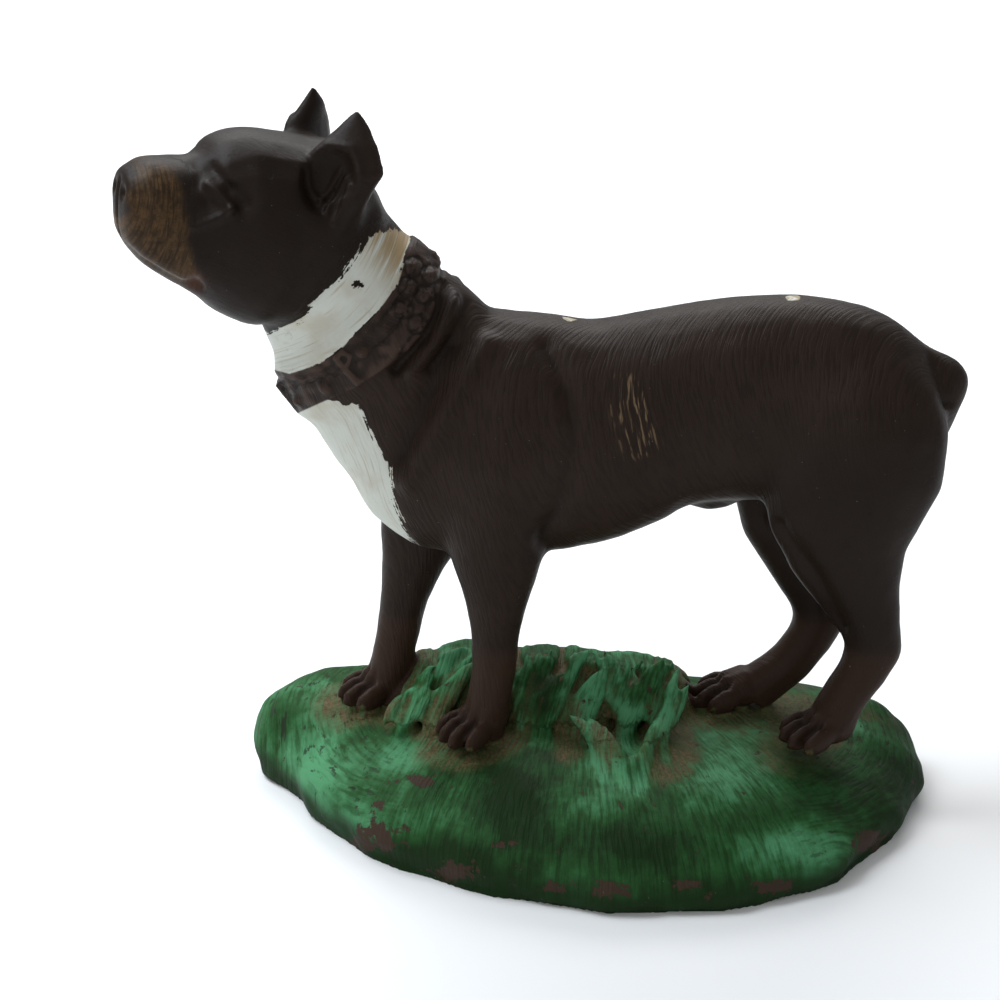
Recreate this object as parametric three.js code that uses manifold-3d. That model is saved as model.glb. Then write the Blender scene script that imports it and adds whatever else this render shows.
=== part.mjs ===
// A cast iron dog that stands on a mound of grass, as one casting with a flat underside.
//
// Millimetres, +Z up. The dog looks along -X, its left side faces -Y, and Z is 0 at the underside.
// X is measured from the middle of the shoulder and Y from the middle of the dog, until the last
// lines move the casting so that the middle of its box stands over the origin.

import * as THREE from "three";
import { LoftGeometry } from "three/addons/geometries/LoftGeometry.js";
import { mergeVertices } from "three/addons/utils/BufferGeometryUtils.js";
import Module from "manifold-3d";

const wasm = await Module();
wasm.setup();

// Driving dimensions.
const GROUND = 29; // height of the turf that the feet stand on
const STANCE = 13; // how far a foot stands from the middle of the dog
const FRONT_STRIDE = 31; // how far the right front foot is ahead of the left one
const HIND_STRIDE = 27; // how far the right hind foot is ahead of the left one
const HIP_X = 106; // from the shoulder to the hip
const HEAD_AT = [-50, -1.5, 189.3]; // where the head sits on the neck
const HEAD_TURN = 24; // degrees that the head turns to the dog's left
const HEAD_ROLL = 2; // degrees that its left ear is lowered
const COLLAR_PROUD = 1.9; // how far the strap stands off the neck
const STUDS = 12; // round studs along the strap
const STUD_RADIUS = 2;
const BLADES = 11; // broad blades of grass in the tuft
const BLADE_RISE = 20; // how far a blade's tip stands over the turf
const RIM = 5; // height of the mound's upright edge

const LEFT = -1;
const RIGHT = 1;
const rad = THREE.MathUtils.degToRad;
const clamp = THREE.MathUtils.clamp;

// Solids.

// The closed solid that a geometry's triangles bound.
function solid(geometry) {
  const bare = new THREE.BufferGeometry().copy(geometry);
  bare.deleteAttribute("normal");
  bare.deleteAttribute("uv");
  const merged = mergeVertices(bare, 1e-4);
  const faces = [];
  for (let i = 0; i < merged.index.count; i += 3) {
    const corners = [0, 1, 2].map((k) => merged.index.getX(i + k));
    if (new Set(corners).size === 3) faces.push(...corners); // leaves out what a pole pinches shut
  }
  const make = (corners) =>
    new wasm.Manifold(
      new wasm.Mesh({
        numProp: 3,
        vertProperties: merged.attributes.position.array,
        triVerts: new Uint32Array(corners),
      }),
    );
  const made = make(faces);
  return made.volume() > 0 ? made : make(faces.reverse());
}

// A skin over a row of rings, closed at both ends by a fan to the middle of the end ring.
function skin(rings) {
  const pole = (ring) => {
    const middle = new THREE.Vector3();
    ring.forEach((point) => middle.addScaledVector(point, 1 / ring.length));
    return ring.map(() => middle);
  };
  return solid(new LoftGeometry([pole(rings[0]), ...rings, pole(rings.at(-1))]));
}

// The triangles of a solid as a geometry.
function geometryOf(whole) {
  const { numProp, numVert, vertProperties, triVerts } = whole.getMesh();
  const position = new THREE.Float32BufferAttribute(numVert * 3, 3);
  for (let i = 0; i < numVert; i += 1) {
    position.setXYZ(i, ...vertProperties.subarray(i * numProp, i * numProp + 3));
  }
  const geometry = new THREE.BufferGeometry();
  geometry.setAttribute("position", position);
  geometry.setIndex(new THREE.BufferAttribute(triVerts, 1));
  return geometry;
}

function join(solids) {
  return solids.reduce((whole, part) => whole.add(part));
}

function moved(whole, matrix) {
  return solid(geometryOf(whole).applyMatrix4(matrix));
}

// The value at a height, on straight lines between rows of a height and a value, from the top down.
function atHeight(rows, z) {
  const next = rows.findIndex(([height]) => height <= z);
  if (next <= 0) return next === 0 ? rows[0][1] : rows.at(-1)[1];
  const [[high, above], [low, below]] = [rows[next - 1], rows[next]];
  return THREE.MathUtils.mapLinear(z, low, high, below, above);
}

// A station of a loft: its centre, its half width along the loft's side direction, its half width
// across that, and how square its outline is: 2 for an ellipse, more for a boxier one.
function station(x, y, z, side, across, square = 2) {
  return { at: new THREE.Vector3(x, y, z), form: new THREE.Vector3(side, across, square) };
}

// The outline at the share t of a loft's length, as points around its centre. The side direction
// stays put and the other one stands square to it and to the line of centres.
function outline(line, forms, side, t, sides, proud = 0) {
  const centre = line.getPoint(t);
  const [halfSide, halfAcross, square] = forms.getPoint(t).toArray();
  const across = new THREE.Vector3().crossVectors(line.getTangent(t), side).normalize();
  const round = (v) => Math.sign(v) * Math.abs(v) ** (2 / square);
  return Array.from({ length: sides }, (_, i) => {
    const turn = (2 * Math.PI * i) / sides;
    return centre
      .clone()
      .addScaledVector(side, (halfSide + proud) * round(Math.cos(turn)))
      .addScaledVector(across, (halfAcross + proud) * round(Math.sin(turn)));
  });
}

// Smooth curves through the centres of a row of stations, and through their forms.
function curves(stations) {
  return {
    line: new THREE.CatmullRomCurve3(stations.map((s) => s.at), false, "centripetal"),
    forms: new THREE.CatmullRomCurve3(stations.map((s) => s.form), false, "catmullrom", 0.5),
  };
}

// A smooth limb through its stations, with flat ends.
function limb(stations, { sides = 16, steps = 1, side = new THREE.Vector3(0, 1, 0) } = {}) {
  const { line, forms } = curves(stations);
  const count = (stations.length - 1) * steps;
  const rings = Array.from({ length: count + 1 }, (_, i) =>
    outline(line, forms, side, i / count, sides),
  );
  return skin(rings);
}

// A rounded lump: an ellipsoid with its half sizes along X, Y and Z, tipped about Y and turned about Z.
function lump([x, y, z], [halfX, halfY, halfZ], { tip = 0, turn = 0, sides = 10 } = {}) {
  const ball = new THREE.SphereGeometry(1, sides, Math.ceil(sides * 0.6));
  ball.scale(halfX, halfY, halfZ);
  ball.rotateY(rad(tip));
  ball.rotateZ(rad(turn));
  ball.translate(x, y, z);
  return solid(ball);
}

// Trunk, from the breast to the rump, along X.
const TRUNK = [
  station(-45.5, 0, 121, 8, 10),
  station(-41.5, 0, 121.5, 16, 20),
  station(-30, 0, 123.5, 23, 32.5, 2.2),
  station(-12, 0, 127.5, 26, 39, 2.3),
  station(10, 0, 128, 26, 38, 2.3),
  station(30, 0, 129.6, 25, 35, 2.3),
  station(50, 0, 136, 23.5, 31, 2.3),
  station(70, 0, 139, 22.5, 31.5, 2.3),
  station(90, 0, 139, 23, 32.3, 2.3),
  station(107, 0, 137.4, 22, 30.6, 2.2),
  station(121, 0, 135, 18.5, 25, 2.1),
  station(132, 0, 134, 12.5, 19),
  station(137.5, 0, 132, 5, 10),
];

function trunk() {
  return limb(TRUNK, { sides: 18, steps: 2 });
}

// The docked tail, a stub that hangs close to the rump.
function tail() {
  return join([
    lump([134, 0, 144.6], [9, 7.5, 8.6], { tip: 50 }),
    lump([124, 0, 147.6], [10, 9, 7.4], { tip: 36 }),
  ]);
}

function sheath() {
  return lump([67, 0, 108], [11, 5, 5], { tip: -10 });
}

// Neck, from between the shoulders up to the skull, with the strap around it.
const NECK = [
  station(-14, 0, 130.5, 23, 35.5, 2.1),
  station(-24.8, 0, 142.2, 23.5, 33.6, 2.1),
  station(-34, 0, 154.5, 23, 31.5, 2.1),
  station(-43, -0.5, 166, 22.5, 28.2, 2.1),
  station(-49, -1, 176.5, 22, 25.8, 2.1),
  station(-54.6, -1.5, 186.4, 21, 23.8, 2.1),
  station(-58.6, -2, 194, 19, 21, 2.1),
];
const STRAP_MIDDLE = 0.494; // share of the neck's length where the strap lies
const STRAP_SHARE = 0.205; // its width as a share of the neck's length
const STRAP_SLANT = 0.072; // how far it slips towards the body at the throat, and up at the nape
const STRAP_SAG = 0.05; // how far it hangs towards the body at both sides of the neck
const STRAP_SIDES = 24;
const BUCKLE_SIZE = [3.6, 14, 15]; // thickness, width and height of the plate at the throat
const BUCKLE_TIP = -36; // degrees that the plate lies back along the throat

function neck() {
  return limb(NECK, { sides: 18 });
}

// A closed line around the neck at a place across the strap's width, from -1 to 1, standing proud.
function strapLine(across, proud, sides = STRAP_SIDES) {
  const { line, forms } = curves(NECK);
  const side = new THREE.Vector3(0, 1, 0);
  return Array.from({ length: sides }, (_, i) => {
    const turn = (2 * Math.PI * i) / sides;
    const slip = STRAP_SLANT * Math.sin(turn) + STRAP_SAG * Math.cos(turn) ** 2;
    const share = STRAP_MIDDLE + (across * STRAP_SHARE) / 2 - slip;
    return outline(line, forms, side, share, sides, proud)[i];
  });
}

function strap() {
  const inside = -3; // the strap's inner side lies this far inside the neck
  const rings = [
    strapLine(-1, inside),
    strapLine(-1, COLLAR_PROUD * 0.6),
    strapLine(-0.8, COLLAR_PROUD),
    strapLine(0.8, COLLAR_PROUD),
    strapLine(1, COLLAR_PROUD * 0.6),
    strapLine(1, inside),
  ];
  const studs = strapLine(0, COLLAR_PROUD, STUDS).map((point) =>
    lump(point.toArray(), [STUD_RADIUS, STUD_RADIUS, STUD_RADIUS], { sides: 6 }),
  );
  const throat = strapLine(0, COLLAR_PROUD)[STRAP_SIDES / 4];
  const buckle = new THREE.BoxGeometry(...BUCKLE_SIZE);
  buckle.rotateY(rad(BUCKLE_TIP));
  buckle.translate(throat.x + 1.8, throat.y, throat.z);
  return join([skin(rings), ...studs, solid(buckle)]);
}

// Head, in its own frame: the nose along -X, the crown along +Z, its pivot at the origin.
const SKULL = [
  station(-63.4, 0, 17, 5, 5),
  station(-62, 0, 16.9, 10.2, 10.4, 2.3),
  station(-57.5, 0, 16.7, 13.3, 13.6, 2.5),
  station(-51, 0, 14.4, 15, 16.4, 2.6),
  station(-44, 0, 11.5, 16, 19, 2.4),
  station(-38, 0, 10.8, 19.5, 23.6, 2.4),
  station(-31.5, 0, 10, 22.5, 26.8, 2.4),
  station(-21, 0, 6, 24.5, 28.4, 2.5),
  station(-8, 0, 4, 24.5, 28, 2.5),
  station(2, 0, -4.8, 20, 21.4, 2.3),
  station(8.5, 0, -9, 14.5, 15.5, 2.2),
  station(12, 0, -10.5, 7, 7),
];
const EAR_TURN = { [LEFT]: 36, [RIGHT]: 40 }; // degrees that an ear faces ahead of straight out
const EAR_LEAN = { [LEFT]: 0, [RIGHT]: 5.5 }; // how far an ear's tip lies ahead of its base
const EAR_BASE_SHARE = 0.6; // the part of the lean that sets the base back
const EAR_FOOT = 12; // where an ear begins, inside the skull
const EAR_HEIGHT = 30; // from there to its tip
const HOLLOW_SIZE = [8.6, 6, 11.5]; // half sizes of the hollow of an ear: broad, deep and high
const HOLLOW_TIP = 14; // degrees that the hollow leans back with the ear's tip

// A cropped ear: an upright leaf on the side of the skull.
function ear(sign) {
  const turn = rad(EAR_TURN[sign]);
  const lean = (z) => EAR_LEAN[sign] * (EAR_BASE_SHARE - ((z - EAR_FOOT) / EAR_HEIGHT) ** 2);
  const at = (x, out, z, wide, thick) => station(x + lean(z), sign * out, z, wide, thick);
  return limb(
    [
      at(-5, 17.5, EAR_FOOT, 8.5, 5),
      at(-5.4, 19, 18.5, 10.8, 6.4),
      at(-3, 19, 26, 12.4, 5.8),
      at(-0.6, 17.8, 32.3, 9.2, 4.2),
      at(1.8, 16.4, 37.5, 4.8, 2.6),
      at(3.2, 15.5, EAR_FOOT + EAR_HEIGHT, 0.6, 0.6),
    ],
    { sides: 12, side: new THREE.Vector3(Math.cos(turn), sign * Math.sin(turn), 0) },
  );
}

// The hollow of an ear, which faces out and a little ahead.
function earHollow(sign) {
  const hollow = new THREE.SphereGeometry(1, 10, 7);
  hollow.scale(...HOLLOW_SIZE);
  hollow.rotateY(rad(HOLLOW_TIP));
  hollow.rotateZ(sign * rad(EAR_TURN[sign]));
  hollow.translate(-8.2, sign * 22.6, 25.5);
  return solid(hollow);
}

// What stands on each side of the head.
function headSide(sign) {
  return [
    ear(sign),
    lump([-39.6, sign * 14.6, 18.6], [6, 3.6, 4.6], { tip: 12, turn: sign * 14, sides: 8 }), // eye
    lump([-59.4, sign * 4.4, 22.6], [3.4, 3.8, 3], { sides: 8 }), // nostril wing
  ];
}

// The groove behind an eye, which slopes down and back from the brow.
function eyeGroove(sign) {
  return lump([-35.2, sign * 19, 23.4], [7, 3, 2.6], { tip: 40, turn: sign * 12, sides: 8 });
}

function head() {
  const nose = lump([-58.6, 0, 23.6], [4.2, 5.6, 4.4], { sides: 8 });
  const solids = [limb(SKULL, { sides: 20 }), nose, ...headSide(LEFT), ...headSide(RIGHT)];
  const hollows = [earHollow(LEFT), earHollow(RIGHT), eyeGroove(LEFT), eyeGroove(RIGHT)];
  const pose = new THREE.Matrix4()
    .makeTranslation(...HEAD_AT)
    .multiply(new THREE.Matrix4().makeRotationZ(rad(HEAD_TURN)))
    .multiply(new THREE.Matrix4().makeRotationX(rad(HEAD_ROLL)));
  return moved(join(solids).subtract(join(hollows)), pose);
}

// Legs. Both legs of a pair have one form, and the right one is set ahead by a stride that fades
// towards the body: the rows are a height and the share of the stride there.
const TOE_PITCH = 4.3; // from one toe to the next
const TOE_REACH = 9.5; // how far the two middle toes lie ahead of the foot
const OUTER_TOE_REACH = 6.8; // the same for the two outer ones
const TOE_SIZE = [7.4, 2.4, 4.2]; // half sizes of a toe: long, wide and high
const TOE_TIP = -18; // degrees that a toe slopes down ahead
const TOE_SPREAD = 9; // degrees between one toe and the next
const HIND_FOOT_SIZE = 1.04; // a hind foot's size beside a front foot's
const FRONT_FOOT_RISE = 3; // how far a front foot stands over the height of the turf's middle
const HIND_FOOT_RISE = 1.2;
const FRONT_FOOT_TURN = { [LEFT]: 38, [RIGHT]: 22 }; // degrees that a foot points to the left
const HIND_FOOT_TURN = { [LEFT]: 22, [RIGHT]: 8 };
const FRONT_LEAN = [[150, 0.28], [125, 0.45], [100, 0.68], [75, 0.91], [50, 1.03]];
const HIND_LEAN = [[140, 0], [105, 0.36], [88, 0.48], [68, 0.5], [54, 0.46], [42, 0.51], [29, 0.92]];

// A foot with four toes, around the place where the leg stands.
function paw([x, y, z], turn, size = 1) {
  const [long, wide, high] = TOE_SIZE;
  const toes = [-1.5, -0.5, 0.5, 1.5].map((place) => {
    const reach = Math.abs(place) > 1 ? OUTER_TOE_REACH : TOE_REACH;
    const shape = { tip: TOE_TIP, turn: -place * TOE_SPREAD, sides: 8 };
    return lump([-reach, place * TOE_PITCH, 3.2], [long, wide, high], shape);
  });
  const instep = lump([-0.5, 0, 5], [9.5, 7.6, 7], { sides: 8 });
  const pose = new THREE.Matrix4()
    .makeTranslation(x, y, z)
    .multiply(new THREE.Matrix4().makeRotationZ(rad(turn)))
    .multiply(new THREE.Matrix4().makeScale(size, size, 1));
  return moved(join([instep, ...toes]), pose);
}

function frontLeg(sign, stride) {
  const lean = (z) => stride * atHeight(FRONT_LEAN, z);
  const at = (x, z, out, long, wide, square) =>
    station(x - lean(z), sign * out, z, wide, long, square);
  const leg = limb(
    [
      at(2, 161, 8, 9, 6),
      at(1, 155, 11, 15, 9),
      at(0, 143, 14.5, 20, 12),
      at(-1, 128, 15.5, 21.5, 12.8),
      at(-0.8, 108, 15, 19, 12),
      at(-1, 92, 14.2, 14.4, 10.5),
      at(-1, 79, 13.5, 10.2, 8.6),
      at(-1.5, 67, STANCE, 7.8, 7.4),
      at(-1.8, 55, STANCE, 7.1, 6.8),
      at(-3.5, 44, STANCE, 7, 7.2),
      at(-6, GROUND + 3, STANCE, 7.5, 7.2),
    ],
    { sides: 12 },
  );
  const foot = [-5.2 - lean(GROUND), sign * STANCE, GROUND + FRONT_FOOT_RISE];
  return join([leg, paw(foot, FRONT_FOOT_TURN[sign])]);
}

function hindLeg(sign, stride) {
  const lean = (z) => stride * atHeight(HIND_LEAN, z);
  const at = (x, z, out, long, wide, square) =>
    station(HIP_X + x - lean(z), sign * out, z, wide, long, square);
  const leg = limb(
    [
      at(2, 163, 7, 9, 6),
      at(1, 157, 9.5, 18, 9.5),
      at(0.3, 147, 13, 25, 12.3),
      at(0.6, 134, 14.5, 28.4, 13.2),
      at(0.3, 118, 14.5, 28, 13),
      at(-0.8, 104, 14, 23.8, 12),
      at(1.2, 91.5, 13.6, 18, 10.3),
      at(5.5, 79, 13.2, 12.6, 8.6),
      at(9.4, 68, STANCE, 9.4, 7.4),
      at(10.6, 61, STANCE, 9.2, 7.2),
      at(7.2, 53, STANCE, 7.9, 6.8),
      at(2, 44, STANCE, 7.4, 7),
      at(-2.5, GROUND + 4, STANCE, 7.8, 7),
    ],
    { sides: 12 },
  );
  const foot = [HIP_X - 1.6 - lean(GROUND), sign * STANCE, GROUND + HIND_FOOT_RISE];
  return join([leg, paw(foot, HIND_FOOT_TURN[sign], HIND_FOOT_SIZE)]);
}

// Mound. Its plan is a half-moon: nearly straight behind the dog and bulging in front of it.
const MOUND_MIDDLE = new THREE.Vector3(29, 10, 0);
const MOUND_PLAN = [
  [-83, 23],
  [-68, -2],
  [-51, -29],
  [-23, -51],
  [8, -64],
  [44, -70.5],
  [79, -65.5],
  [105, -52],
  [126, -26],
  [138, 1],
  [139, 24],
  [118, 38],
  [76, 43],
  [29, 45],
  [-30, 43],
  [-74, 38],
];
const MOUND_RINGS = [1, 0.97, 0.91, 0.82, 0.69, 0.52, 0.3, 0.06]; // shares of the way to the edge
const MOUND_SIDES = 48;
const UNDERSIDE_SHARE = 0.97; // the underside is this much smaller than the edge over it
const EDGE_WAVES = 0.012; // how far the edge waves in and out, as a share of its distance
const TURF_LUMPS = 0.8; // height of the turf's lumps
const HEAD_END_RISE = 2.5; // how much higher the turf is at the head end
const RIM_RISE = 5; // how much higher the edge is at the head end

// The height at a share of the way from the middle out to the edge. The front falls away gently,
// and the back and the ends stand steep, the head end most.
function moundHeight(share, x, y) {
  const ahead = clamp((MOUND_MIDDLE.x - x) / 80, -1, 1);
  const behind = clamp((y - MOUND_MIDDLE.y) / 25, -1, 1);
  const end = Math.max(ahead, -0.5 * ahead);
  const fullness = 4.2 + 4.5 * clamp(end + behind, 0, 2) ** 1.4;
  const dome = (1 - share ** fullness) ** 0.6;
  const lumps = Math.sin(x * 0.21 + 1) * Math.sin(y * 0.27) + 0.6 * Math.sin(x * 0.43 + y * 0.35);
  const top = GROUND + 1 + HEAD_END_RISE * ahead;
  const rim = RIM + RIM_RISE * end ** 2;
  return rim + (top - rim) * dome + TURF_LUMPS * lumps * share;
}

function mound() {
  const plan = new THREE.CatmullRomCurve3(
    MOUND_PLAN.map(([x, y]) => new THREE.Vector3(x, y, 0)),
    true,
    "centripetal",
  );
  const edge = Array.from({ length: MOUND_SIDES }, (_, i) => {
    const point = plan.getPoint(i / MOUND_SIDES).sub(MOUND_MIDDLE);
    return point.multiplyScalar(1 + EDGE_WAVES * Math.sin(i * 1.9));
  });
  const ring = (share, height) =>
    edge.map((point) => {
      const place = point.clone().multiplyScalar(share).add(MOUND_MIDDLE);
      place.z = height ?? moundHeight(share, place.x, place.y);
      return place;
    });
  const rings = [ring(UNDERSIDE_SHARE, 0), ...MOUND_RINGS.map((share) => ring(share))];
  return skin(rings);
}

// A grass blade: a broad leaf that rises from its root on the slope, lies back on the bank, leans
// towards the rear and ends in a pointed tip.
function blade(x, y, rise, lean, width) {
  return limb(
    [
      station(x - lean * 0.6, y - 7, GROUND - 6, width * 0.35, 1.6),
      station(x - lean * 0.25, y + 1, GROUND + rise * 0.12, width * 0.8, 2.4),
      station(x + lean * 0.25, y + 8, GROUND + rise * 0.58, width, 2.6),
      station(x + lean * 0.7, y + 12, GROUND + rise * 0.86, width * 0.66, 2),
      station(x + lean, y + 13, GROUND + rise, 0.5, 0.6),
    ],
    { sides: 6, side: new THREE.Vector3(1, 0, 0) },
  );
}

// The tuft between the front and the hind feet: a bank of turf that ends steeply at the hind feet,
// with a row of blades on its face.
const ROW_START = -27; // X of the first blade
const ROW_LENGTH = 77; // from the first blade to the last
const BLADE_WIDTH = 4.6; // half width of a blade where it is broadest
const BLADE_LEAN = 9; // how far a blade's tip leans towards the rear, give or take a third

function tuft() {
  const bank = limb(
    [
      station(-38, 17, GROUND, 12, 9),
      station(-27, 15, GROUND, 15, 17),
      station(-11, 14, GROUND, 17, 21.5),
      station(3, 13, GROUND, 18, 19.5),
      station(19, 13, GROUND, 18, 20),
      station(34, 13, GROUND, 18, 17.5),
      station(46, 14, GROUND, 17, 16.5),
      station(56, 15, GROUND, 15, 13),
      station(63, 15, GROUND, 11, 6),
    ],
    { sides: 10 },
  );
  const blades = Array.from({ length: BLADES }, (_, i) => {
    const x = ROW_START + (i * ROW_LENGTH) / (BLADES - 1);
    const y = -7 - (i % 2) * 5;
    const rise = BLADE_RISE + 2 * Math.sin(i * 2.3);
    const lean = BLADE_LEAN * (1 + 0.35 * Math.sin(i * 1.7));
    return blade(x, y, rise, lean, BLADE_WIDTH * (1 + 0.2 * Math.sin(i * 2.9)));
  });
  return join([bank, ...blades]);
}

// The casting.
const casting = join([
  mound(),
  tuft(),
  trunk(),
  neck(),
  strap(),
  head(),
  tail(),
  sheath(),
  frontLeg(LEFT, 0),
  frontLeg(RIGHT, FRONT_STRIDE),
  hindLeg(LEFT, 0),
  hindLeg(RIGHT, HIND_STRIDE),
]);

const painted = new THREE.MeshStandardMaterial({ color: 0x2c211e, roughness: 0.55, metalness: 0.1 });
const dog = new THREE.Mesh(geometryOf(casting), painted);
dog.name = "dog_on_grass_mound";
dog.geometry.computeVertexNormals();
dog.geometry.computeBoundingBox();
const middle = dog.geometry.boundingBox.getCenter(new THREE.Vector3());
dog.position.set(-middle.x, -middle.y, 0);

const statue = new THREE.Group();
statue.add(dog);
export default statue;
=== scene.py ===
"""The finish of a cast iron dog on a mound of grass: its carving and its old, worn paint."""

import math

import bmesh
import bpy
import numpy as np
from mathutils import Matrix, Vector


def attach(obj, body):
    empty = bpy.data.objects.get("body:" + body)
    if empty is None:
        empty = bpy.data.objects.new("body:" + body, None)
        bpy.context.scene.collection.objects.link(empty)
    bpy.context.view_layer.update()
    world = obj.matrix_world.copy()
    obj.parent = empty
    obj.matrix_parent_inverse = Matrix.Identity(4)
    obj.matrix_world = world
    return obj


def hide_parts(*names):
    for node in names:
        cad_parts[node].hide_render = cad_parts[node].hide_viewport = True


bl_info = {
    "name": "Cast iron dog",
    "version": (1, 0, 0),
    "blender": (4, 5, 0),
    "location": "3D View > Sidebar > Cast iron dog",
    "description": "Carves and paints a cast iron dog that stands on a mound of grass",
    "category": "Object",
}

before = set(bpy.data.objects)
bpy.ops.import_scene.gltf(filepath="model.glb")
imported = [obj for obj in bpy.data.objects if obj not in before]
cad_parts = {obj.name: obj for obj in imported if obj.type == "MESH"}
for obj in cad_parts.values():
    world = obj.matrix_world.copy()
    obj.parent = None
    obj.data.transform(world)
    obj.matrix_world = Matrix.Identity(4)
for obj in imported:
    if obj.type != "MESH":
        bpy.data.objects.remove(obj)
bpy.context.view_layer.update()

# Places and sizes are in millimetres, in the dog's own frame: X from the middle of its shoulder
# towards the rump, Y from the middle of its body towards its right side, and Z from the underside.
NODE = "dog_on_grass_mound"
PIECE = "painted_dog_on_grass"
MM = 0.001
SHOULDER_AT = np.array([-15.967, 12.681, 0.0])  # the dog's frame in the shared frame
GROUND = 29.0  # height of the turf under the feet
HEAD_AT = np.array([-50.0, -1.5, 189.3])
HEAD_TURN = math.radians(24)
HEAD_ROLL = math.radians(2)

# The camera of the photograph, in the dog's frame.
CAMERA_RISE = math.radians(22)
CAMERA_DISTANCE = 680.0
CAMERA_TARGET = np.array([0.0, 0.0, 106.0])
CAMERA_LENS = 78.98
CAMERA_AT = CAMERA_TARGET + CAMERA_DISTANCE * np.array(
    [0.0, -math.cos(CAMERA_RISE), math.sin(CAMERA_RISE)]
)

# Lines of the carving. Each point is where the line shows on the upright plane through the middle
# of the dog, seen from the camera: X and Z. The dog's right side gets the same lines, mirrored.
SHOULDER_FURROW = [(14, 156), (20.5, 142), (23, 129), (21, 116.5), (18, 103), (13.5, 92)]
BLADE_RIDGE = [(-5, 156), (-11, 146), (-17.5, 134.5), (-24.5, 121.5), (-28.5, 112.5)]
BLADE_HOLLOW = [(-13.5, 156), (-19.5, 145), (-25.5, 132), (-30, 120.5)]
NECK_CREASE = [(-14.5, 181), (-16.5, 175.5), (-18, 167.5), (-21, 160.5), (-26, 154), (-31.5, 148)]
SHOULDER_BULGE = [(3, 142), (2, 116)]
LOIN = [(52, 150), (72, 152)]
FLANK_HOLLOW = [(60, 118), (74, 124)]
NECK_ROLL = [(-11.5, 178), (-14, 171), (-16.5, 164), (-20.5, 156.5), (-27, 149)]
SECOND_CREASE = [(-8.5, 173), (-11, 164.5), (-15, 157), (-21, 149)]
THIGH_FURROW = [(86.3, 96.5), (92.3, 89), (98, 81.5), (103.6, 72), (108, 62)]
FLANK_FOLD = [(79.7, 126), (82.8, 112.5), (86.2, 99)]
TAIL_CREASE = [(130.5, 153), (134, 146), (136.5, 138)]
EYE = (-85.8, 200.4)
UPPER_LID = [(-85.8, 205.4), (-84, 204), (-81, 201), (-78.9, 198)]
LOWER_LID = [(-78.9, 198), (-82, 196.2), (-85.5, 194.7), (-89.7, 193.2)]
BROW_HOLLOW = [(-84.4, 210.4), (-82, 207.6), (-79.4, 204.6)]
BROW_END = (-75.3, 199.5)
STOP = [(-90, 214), (-88.8, 210.5), (-88.5, 206)]
MOUTH = [(-115, 194.4), (-112.4, 188.3), (-107, 183), (-101, 179), (-95.4, 175.6), (-89.5, 174)]
LIP_EDGE = [(x + 0.8, z + 2.4) for x, z in MOUTH]
MOUTH_CORNER = (-91, 175.8)
WHISKERS = (-115, 204)
CHEEK_LINE = [(-59, 193.5), (-58, 183), (-60.3, 173.5), (-67.4, 166)]
EAR_HOLLOW = [
    (-56.6, 213), (-50, 217), (-43.7, 216), (-42, 209.5), (-44, 202), (-50, 199), (-55.7, 204),
]
EAR_LOCKS = [
    [(-46.2, 210), (-49.8, 204), (-53.5, 199.5)],
    [(-44.5, 207.5), (-47.6, 201.5), (-51.2, 197)],
    [(-43.4, 205.5), (-45.3, 199.5), (-48.9, 194)],
]
NAPE_FOLD = [(-36.5, 198.5), (-39.5, 193), (-44.4, 189)]
KEEPER = [(-48.4, 151), (-43.1, 144.6)]
HOOK = [(-49.5, 152.3), (-47.7, 154.2), (-45.3, 152.9), (-46, 150.4)]
ROSETTES = [(-25.6, 181), (-20.2, 178.5), (-27.4, 174.8), (-22.1, 172.3), (-28.7, 168), (-24.6, 163)]

# What the carving raises, and with a minus sinks: a line or a point, its height and its width.
BODY_MARKS = [
    (SHOULDER_FURROW, -2.0, 3.2),
    (SHOULDER_BULGE, 1.5, 13),
    (BLADE_RIDGE, 2.5, 4.0),
    (BLADE_HOLLOW, -2.4, 4.4),
    (NECK_CREASE, -2.2, 1.8),
    (NECK_ROLL, 2.0, 2.6),
    (SECOND_CREASE, -1.7, 2.2),
    (THIGH_FURROW, -1.9, 2.6),
    (FLANK_FOLD, -1.1, 5.0),
    (TAIL_CREASE, -1.6, 1.8),
    (LOIN, 0.9, 9),
    (FLANK_HOLLOW, -0.6, 7),
]
FACE_MARKS = [
    (BROW_HOLLOW, -1.2, 2.2),
    (STOP, -1.0, 2.4),
    (BROW_END, -0.9, 2.4),
    (UPPER_LID, 1.7, 1.4),
    (LOWER_LID, 1.5, 1.5),
    (EYE, -1.3, 2.6),
    (MOUTH, -1.2, 1.0),
    (LIP_EDGE, 0.25, 1.7),
    (MOUTH_CORNER, -1.4, 2.2),
    (CHEEK_LINE, -0.7, 3.4),
    (NAPE_FOLD, -0.9, 2.6),
]

# Places in the head's own frame, on its left side.
NOSTRIL_AT = (-62.0, -4.2, 21.8)
NOSE_WING_AT = (-60.2, -6.0, 20.6)

# The strap lies across the neck along a line that sags in the middle.
STRAP_AT = np.array([-44.25, 163.75])
STRAP_ALONG = np.array([0.7375, 0.675])
STRAP_ACROSS = np.array([-0.675, 0.7375])
STRAP_SAG = 10.5
STRAP_HALF_LENGTH = 32.2

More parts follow.
